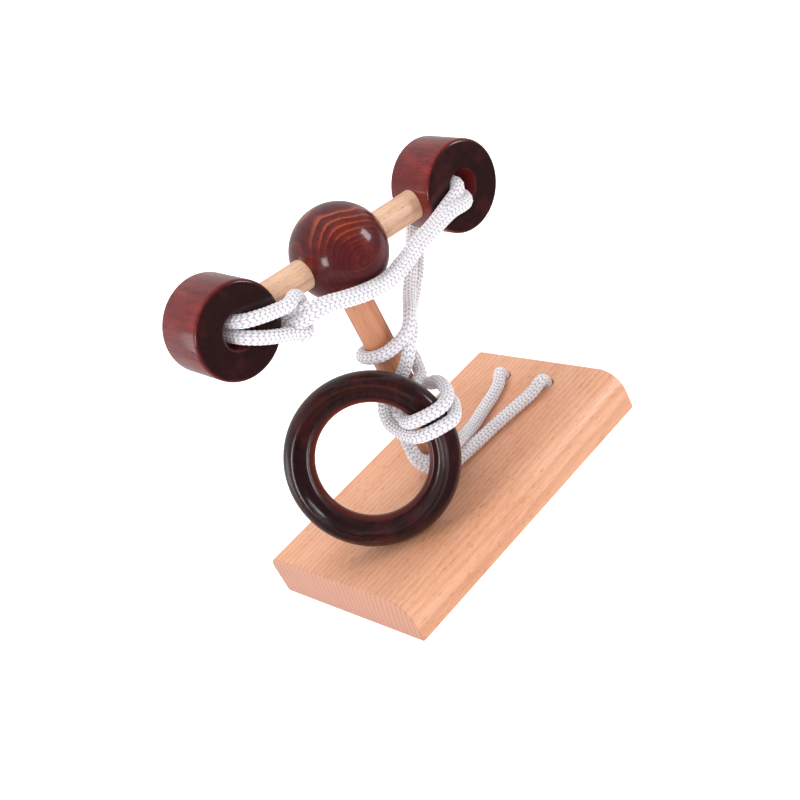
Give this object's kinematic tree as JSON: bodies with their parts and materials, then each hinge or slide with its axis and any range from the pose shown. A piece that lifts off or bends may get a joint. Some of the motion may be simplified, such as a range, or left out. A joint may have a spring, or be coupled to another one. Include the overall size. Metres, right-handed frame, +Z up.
{
  "type": "hook and ring puzzle game",
  "caption": "Wooden hook and ring puzzle: a post with a ball, a crossbar with bored drums, and a turned ring caught in loops of braided cord on a plank base.",
  "frame": {"origin": "centre of the plank's underside", "axes": "+X along the plank towards its two cord holes, +Z up along the post, +Y across the plank"},
  "size_m": [0.1251, 0.0706, 0.1247],
  "materials": {
    "beech": "pinkish tan beech, fine lengthwise grain with short dark flecks, satin",
    "pale_dowel": "honey pale hardwood dowel, satin clear finish",
    "mahogany_stain": "red brown mahogany stain under a satin lacquer",
    "dark_mahogany": "near black mahogany stain under a satin lacquer",
    "white_braid": "glossy white braided cord"
  },
  "bodies": {
    "stand": {"base_plank": "beech", "post": "pale_dowel", "ball": "mahogany_stain", "crossbar": "pale_dowel", "left_drum": "mahogany_stain", "right_drum": "mahogany_stain", "cord_first_lead": "white_braid", "cord_post_wrap": "white_braid", "cord_first_rise": "white_braid", "cord_outward_run": "white_braid", "cord_left_bight": "white_braid", "cord_return_run": "white_braid", "cord_second_rise": "white_braid", "cord_drop": "white_braid", "cord_second_lead": "white_braid", "first_knot": "white_braid", "second_knot": "white_braid"},
    "ring_hitch": {"cord_upper_ring_loop": "white_braid", "cord_lower_ring_loop": "white_braid"},
    "ring": {"ring": "dark_mahogany"}
  },
  "joints": [
    {"name": "ring_swing", "type": "hinge", "parent": "stand", "child": "ring_hitch", "pos_m": [-0.00745, -0.01923, 0.04867], "axis": [0.0404, 0.462, 0.886], "range_deg": [0, 70], "deforming": ["cord_upper_ring_loop", "cord_lower_ring_loop"]},
    {"name": "ring_spin", "type": "hinge", "parent": "ring_hitch", "child": "ring", "pos_m": [-0.02679, -0.00643, 0.04288], "axis": [-0.5861, -0.7072, 0.3955], "continuous": true}
  ]
}
